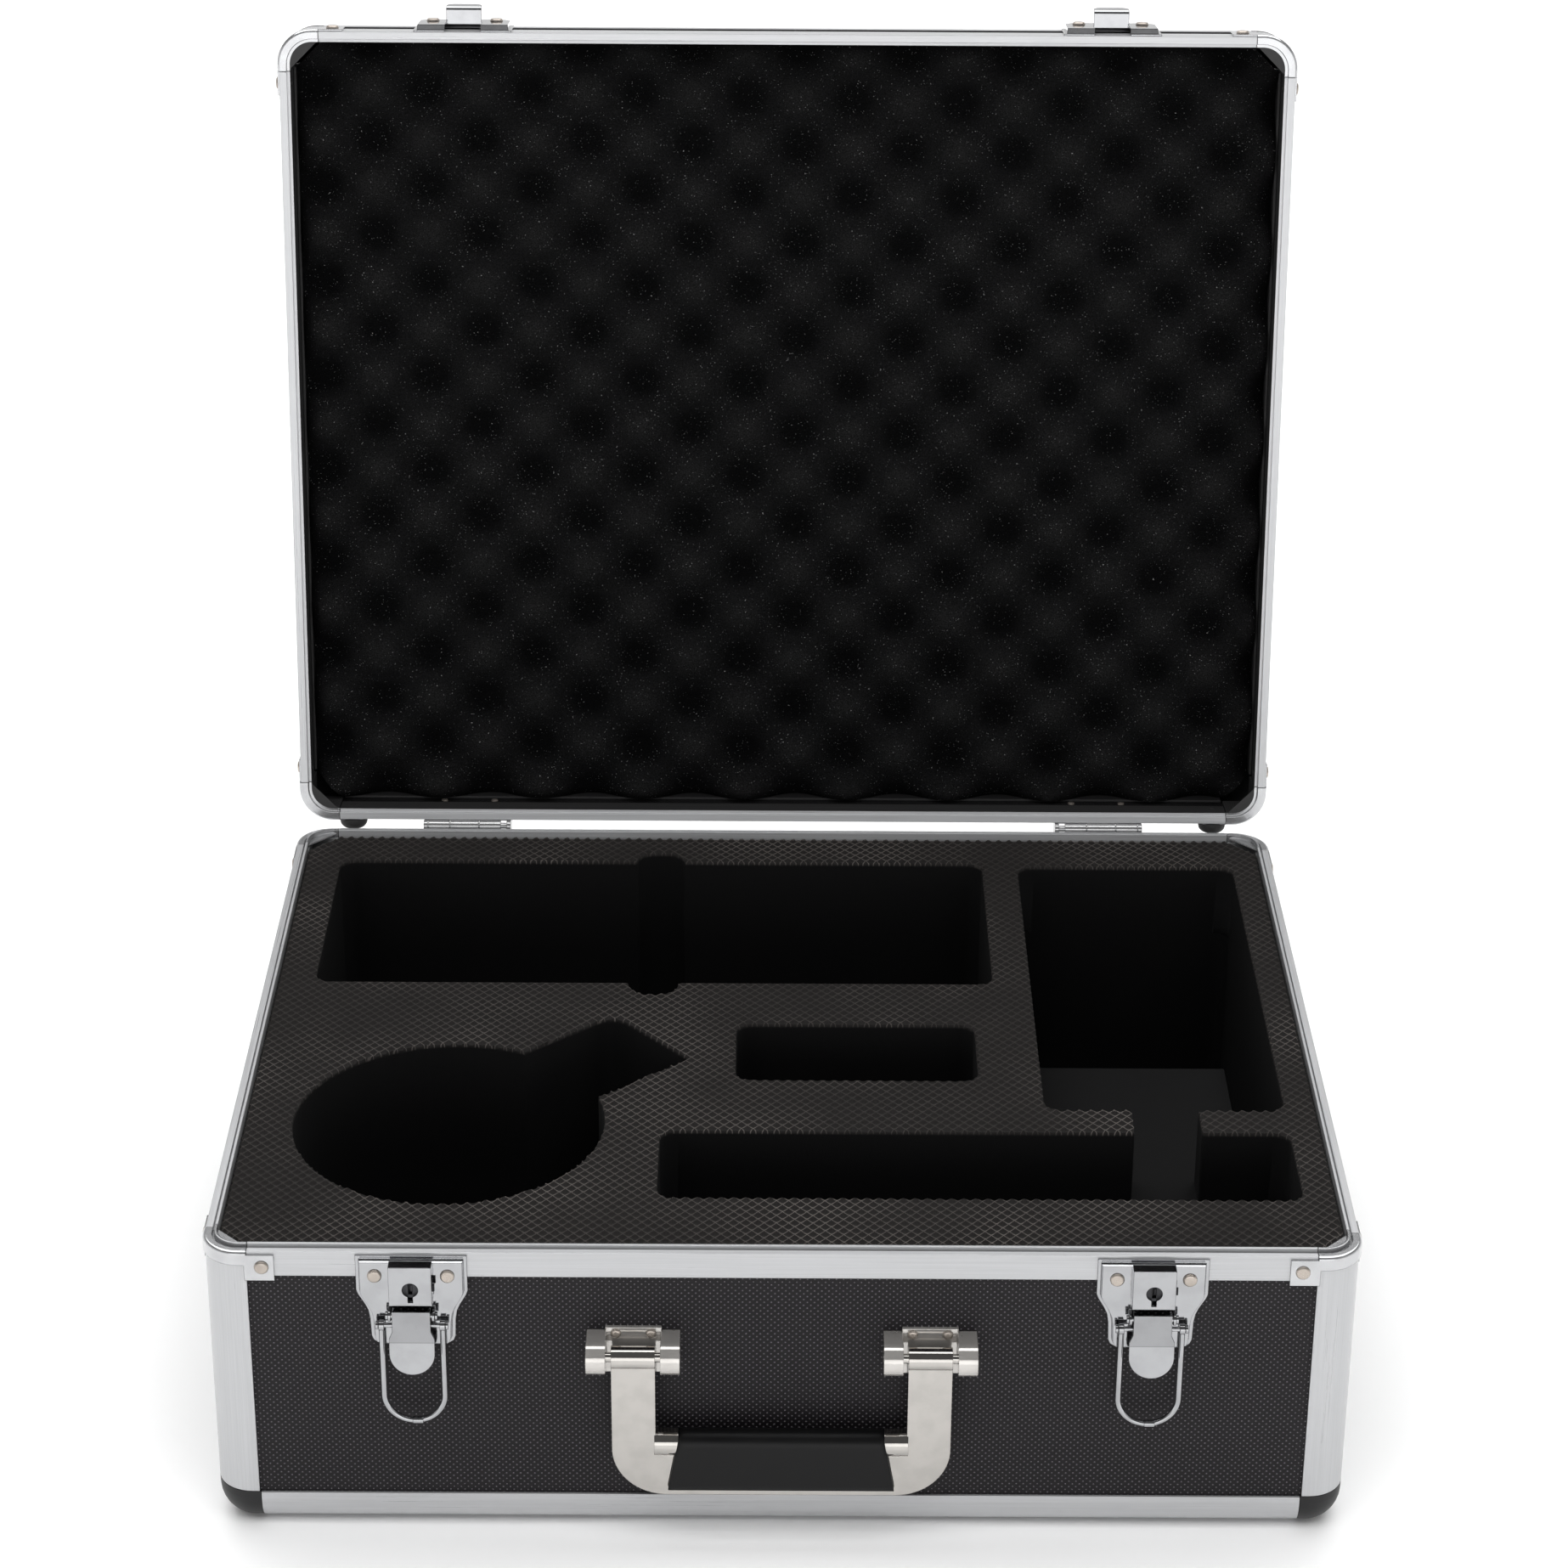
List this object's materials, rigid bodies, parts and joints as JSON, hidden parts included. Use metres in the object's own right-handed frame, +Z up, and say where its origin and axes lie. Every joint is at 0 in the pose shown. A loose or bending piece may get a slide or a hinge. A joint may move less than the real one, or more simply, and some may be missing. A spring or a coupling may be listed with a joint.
{
  "type": "hard camera flight case",
  "caption": "Hard-sided flight case with aluminium edges, an open hinged lid, toggle latches with wire bails, key locks, a folding carry handle, and cut foam inside.",
  "frame": {"origin": "middle of the base's footprint, on the surface that the case stands on", "axes": "+X to the right of the latch side, +Y from the latch side to the hinge side, +Z up"},
  "size_m": [0.4642, 0.4829, 0.5137],
  "materials": {
    "laminate": "black laminate with a fine raised diamond grain",
    "brushed_aluminium": "satin, fine lengthwise lines",
    "corner_plastic": "matt black",
    "bracket_chrome": "bright plating on pressed steel",
    "rivet_nickel": "warm nickel plating",
    "insert_foam": "dark open-cell foam with a pressed diamond mesh",
    "lid_foam": "black open-cell egg-crate foam",
    "foot_rubber": "matt black rubber",
    "handle_nickel": "bright warm nickel plating",
    "grip_plastic": "satin black",
    "hinge_steel": "bright plating on steel",
    "latch_chrome": "bright plating on pressed steel",
    "lock_steel": "dull steel"
  },
  "bodies": {
    "case": {"base_front_panel": "laminate", "base_back_panel": "laminate", "base_side_panels": "laminate", "base_floor_panel": "laminate", "base_rim_front": "brushed_aluminium", "base_rim_back": "brushed_aluminium", "base_rim_sides": "brushed_aluminium", "base_bottom_edges": "brushed_aluminium", "base_corner_posts": "brushed_aluminium", "base_corner_caps": "corner_plastic", "base_rim_corners": "bracket_chrome", "base_rim_rivets": "rivet_nickel", "foam_insert": "insert_foam", "foam_floor_pad": "insert_foam", "base_feet": "foot_rubber", "latch_plate_left": "latch_chrome", "latch_plate_right": "latch_chrome", "lock_box_left": "latch_chrome", "lock_box_right": "latch_chrome", "lever_pin_left": "latch_chrome", "lever_pin_right": "latch_chrome", "latch_rivets": "rivet_nickel", "handle_bracket_left": "handle_nickel", "handle_bracket_right": "handle_nickel", "handle_pins": "handle_nickel", "handle_rivets": "rivet_nickel", "hinge_base_leaf_left": "hinge_steel", "hinge_base_leaf_right": "hinge_steel", "hinge_pins": "hinge_steel", "hinge_base_rivets": "rivet_nickel"},
    "lid": {"lid_front_panel": "laminate", "lid_back_panel": "laminate", "lid_side_panels": "laminate", "lid_top_panel": "laminate", "lid_rim_front": "brushed_aluminium", "lid_rim_back": "brushed_aluminium", "lid_rim_sides": "brushed_aluminium", "lid_top_edges": "brushed_aluminium", "lid_corner_posts": "brushed_aluminium", "lid_corner_caps": "corner_plastic", "lid_rim_corners": "bracket_chrome", "lid_rim_rivets": "rivet_nickel", "egg_crate_foam": "lid_foam", "catch_left": "latch_chrome", "catch_right": "latch_chrome", "catch_rivets": "rivet_nickel", "lid_feet": "foot_rubber", "hinge_lid_leaf_left": "hinge_steel", "hinge_lid_leaf_right": "hinge_steel", "hinge_lid_rivets": "rivet_nickel"},
    "handle": {"handle_frame": "handle_nickel", "handle_grip": "grip_plastic"},
    "lever_left": {"latch_lever_left": "latch_chrome"},
    "bail_carrier_left": {"bail_pin_left": "latch_chrome"},
    "bail_left": {"latch_bail_left": "latch_chrome"},
    "plug_left": {"lock_plug_left": "lock_steel"},
    "lever_right": {"latch_lever_right": "latch_chrome"},
    "bail_carrier_right": {"bail_pin_right": "latch_chrome"},
    "bail_right": {"latch_bail_right": "latch_chrome"},
    "plug_right": {"lock_plug_right": "lock_steel"}
  },
  "joints": [
    {"name": "lid_hinge", "type": "hinge", "parent": "case", "child": "lid", "pos_m": [0, 0.18945, 0.13375], "axis": [1, 0, 0], "range_deg": [0, 98.6]},
    {"name": "handle_swing", "type": "hinge", "parent": "case", "child": "handle", "pos_m": [0, -0.1945, 0.09], "axis": [-1, 0, 0], "range_deg": [0, 95]},
    {"name": "lever_turn_left", "type": "hinge", "parent": "case", "child": "lever_left", "pos_m": [-0.1468, -0.1929, 0.1081], "axis": [-1, 0, 0], "range_deg": [0, 110]},
    {"name": "bail_carry_left", "type": "hinge", "parent": "lever_left", "child": "bail_carrier_left", "pos_m": [-0.1468, -0.1922, 0.1031], "axis": [-1, 0, 0], "range_deg": [-110, 0]},
    {"name": "bail_swing_left", "type": "hinge", "parent": "bail_carrier_left", "child": "bail_left", "pos_m": [-0.1468, -0.1922, 0.1031], "axis": [-1, 0, 0], "range_deg": [0, 178.1]},
    {"name": "plug_turn_left", "type": "hinge", "parent": "case", "child": "plug_left", "pos_m": [-0.1468, -0.1897, 0.1212], "axis": [0, 1, 0], "range_deg": [0, 90]},
    {"name": "lever_turn_right", "type": "hinge", "parent": "case", "child": "lever_right", "pos_m": [0.1468, -0.1929, 0.1081], "axis": [-1, 0, 0], "range_deg": [0, 110]},
    {"name": "bail_carry_right", "type": "hinge", "parent": "lever_right", "child": "bail_carrier_right", "pos_m": [0.1468, -0.1922, 0.1031], "axis": [-1, 0, 0], "range_deg": [-110, 0]},
    {"name": "bail_swing_right", "type": "hinge", "parent": "bail_carrier_right", "child": "bail_right", "pos_m": [0.1468, -0.1922, 0.1031], "axis": [-1, 0, 0], "range_deg": [0, 178.1]},
    {"name": "plug_turn_right", "type": "hinge", "parent": "case", "child": "plug_right", "pos_m": [0.1468, -0.1897, 0.1212], "axis": [0, 1, 0], "range_deg": [0, 90]}
  ],
  "couplings": [
    {"joint": "bail_carry_left", "follows": "lever_turn_left", "ratio": -1},
    {"joint": "bail_carry_right", "follows": "lever_turn_right", "ratio": -1}
  ]
}
